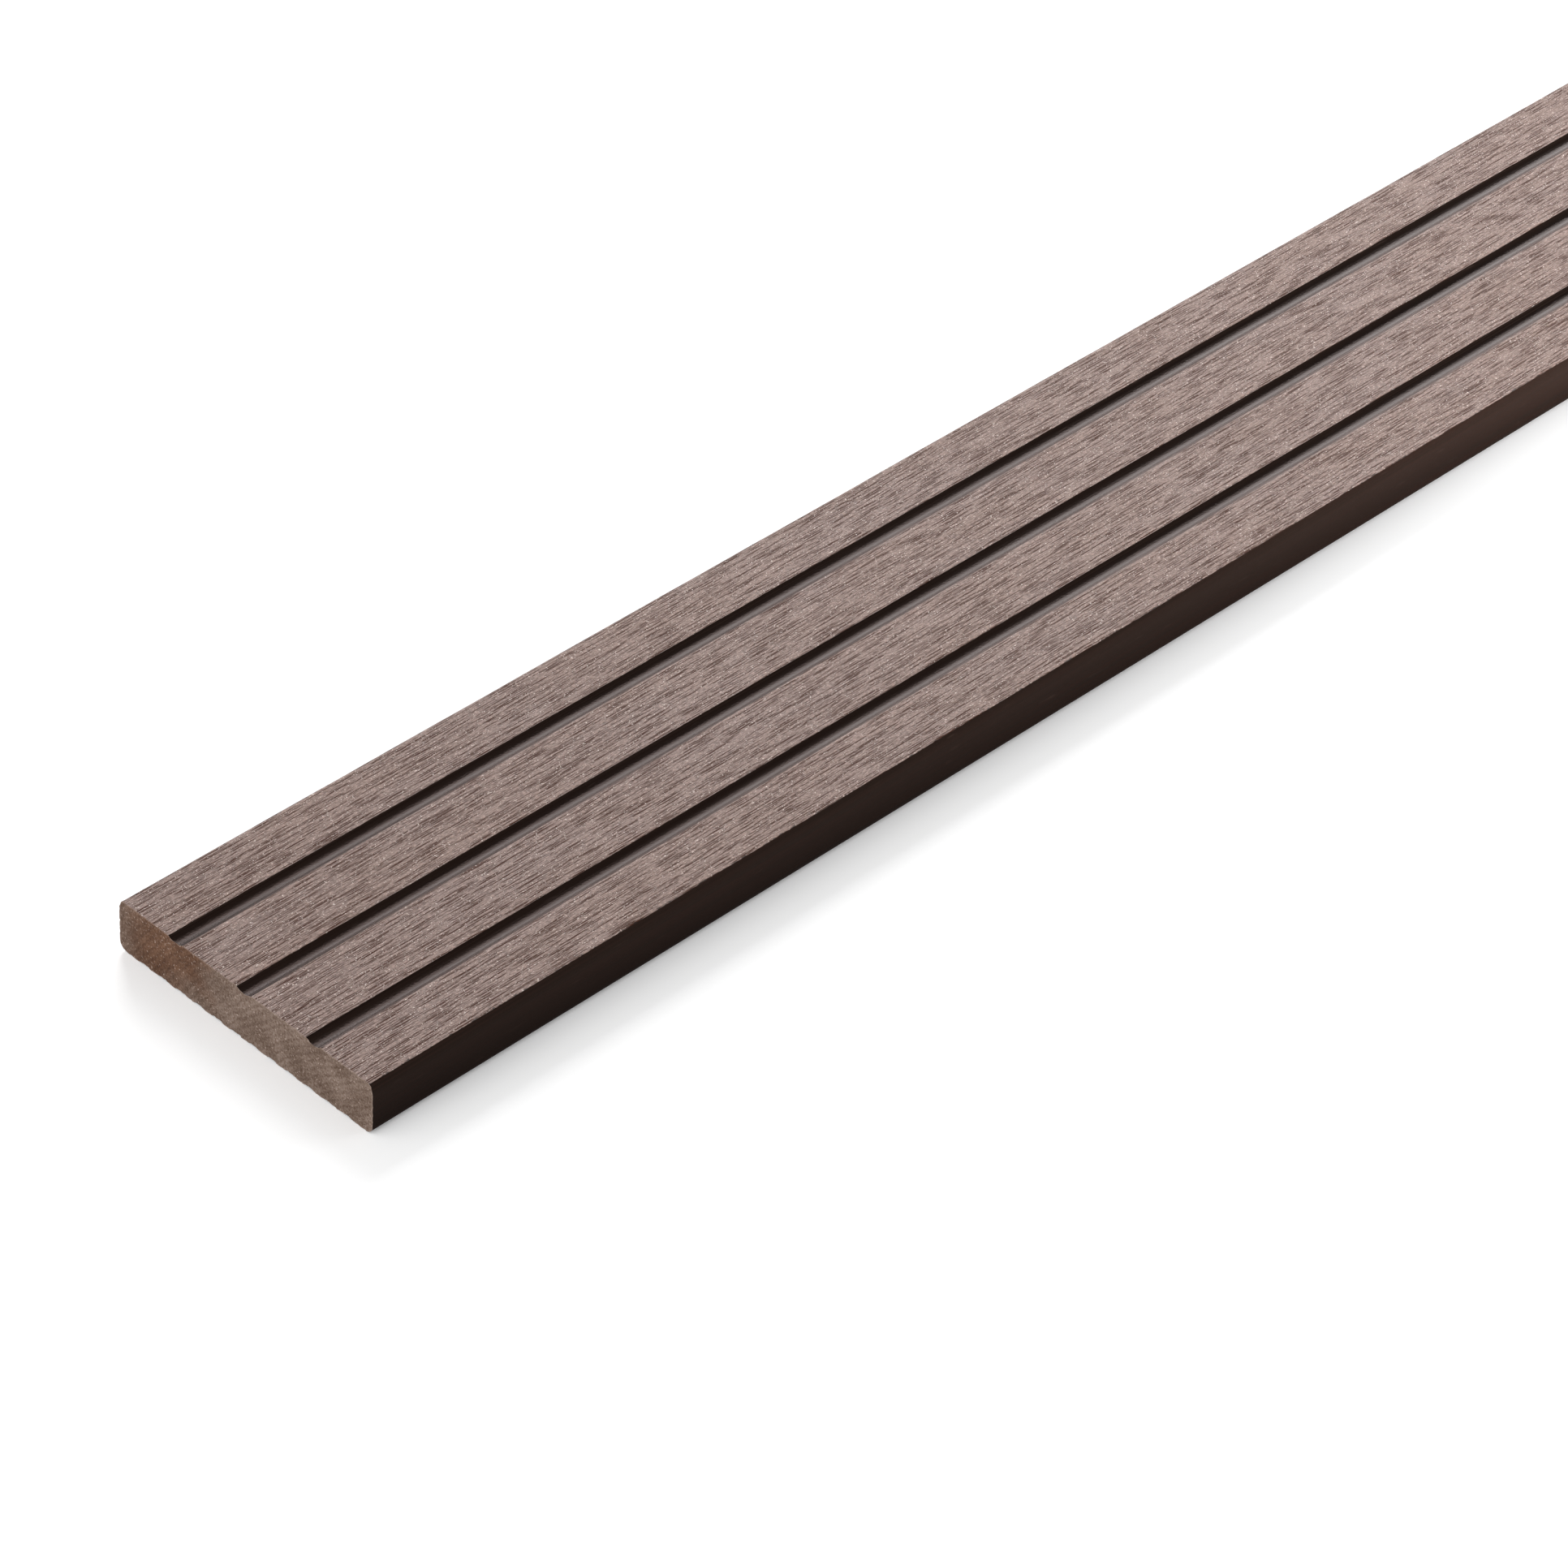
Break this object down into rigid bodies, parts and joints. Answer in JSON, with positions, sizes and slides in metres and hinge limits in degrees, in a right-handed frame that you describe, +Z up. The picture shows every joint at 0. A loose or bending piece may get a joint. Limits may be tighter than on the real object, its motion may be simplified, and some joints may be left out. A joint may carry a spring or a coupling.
{
  "type": "composite cover strip",
  "caption": "Flat wood-plastic cover strip with round grooves along a brushed face, crisp upper edges, rounded lower edges and a finely ribbed back, sawn square at the ends.",
  "frame": {"origin": "bottom centre of the strip, on the plane of the back ribs, half way along and half way across", "axes": "+X along the strip, +Y across its width, +Z up out of the grooved face"},
  "size_m": [2, 0.07, 0.012],
  "materials": {
    "brushed_composite": "grey-brown wood-plastic composite, face planed and wire-brushed along the length, sides and grooves left smooth and dark as extruded, ends sawn"
  },
  "bodies": {
    "root": {"cover_strip": "brushed_composite"}
  },
  "joints": []
}
